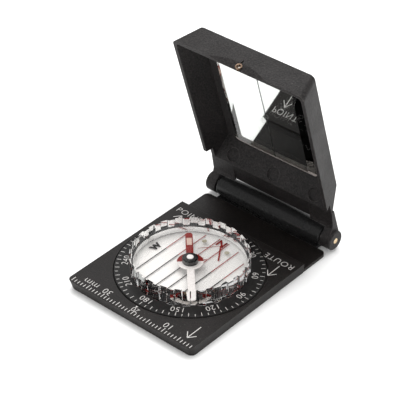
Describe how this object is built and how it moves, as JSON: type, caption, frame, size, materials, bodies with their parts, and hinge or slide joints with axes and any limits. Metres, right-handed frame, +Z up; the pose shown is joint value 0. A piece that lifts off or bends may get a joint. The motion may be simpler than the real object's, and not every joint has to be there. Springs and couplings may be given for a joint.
{
  "type": "sighting compass",
  "caption": "Pocket sighting compass with a turning dial, clear capsule, swinging needle and a hinged lid that holds a sighting mirror.",
  "frame": {"origin": "on the underside of the base plate, on the dial's axis", "axes": "+Z up through the dial, +Y towards the hinge, +X along the hinge to the right seen from the ruler edge"},
  "size_m": [0.0418, 0.0594, 0.0556],
  "materials": {
    "base": "fine moulded texture",
    "lid": "fine moulded texture",
    "barrel": "satin",
    "dial": "satin, printed in white",
    "brass": "turned",
    "spring_steel": "bright",
    "pivot_steel": "polished",
    "seal": "matt",
    "clear": "clear, polished",
    "clear_plug": "clear",
    "luminous": "luminous paint",
    "needle": "painted red and white",
    "hub": "gloss",
    "jewel": "polished",
    "cap": "gloss",
    "mirror_glass": "clear, bevelled",
    "mirror": "silvered",
    "tape": "foam tape"
  },
  "bodies": {
    "base": {"base_plate": "base", "hinge_barrel": "barrel", "hinge_pin": "brass", "friction_washers": "spring_steel", "dial_friction_ring": "seal", "underside_window": "clear"},
    "dial": {"dial_ring": "dial", "dial_retainer": "base", "capsule_body": "clear", "capsule_lens": "clear", "capsule_fill_plug": "clear_plug", "luminous_dots": "luminous", "pivot_socket": "brass", "pivot_pin": "pivot_steel"},
    "needle": {"needle_blade": "needle", "needle_luminous_inset": "luminous", "needle_hub": "hub", "jewel_bearing": "jewel", "needle_hub_cap": "cap"},
    "lid": {"lid_shell": "lid", "sight_bush": "brass", "hinge_bushes": "brass", "mirror_glass": "mirror_glass", "mirror_silver": "mirror", "mirror_tape": "tape"}
  },
  "joints": [
    {"name": "lid_hinge", "type": "hinge", "parent": "base", "child": "lid", "pos_m": [0, 0.0326, 0.00335], "axis": [-1, 0, 0], "range_deg": [-73, 77]},
    {"name": "dial_turn", "type": "hinge", "parent": "base", "child": "dial", "pos_m": [0, 0, 0], "axis": [0, 0, 1], "continuous": true},
    {"name": "needle_swing", "type": "hinge", "parent": "dial", "child": "needle", "pos_m": [0, 0, 0.0052], "axis": [0, 0, 1], "continuous": true}
  ]
}
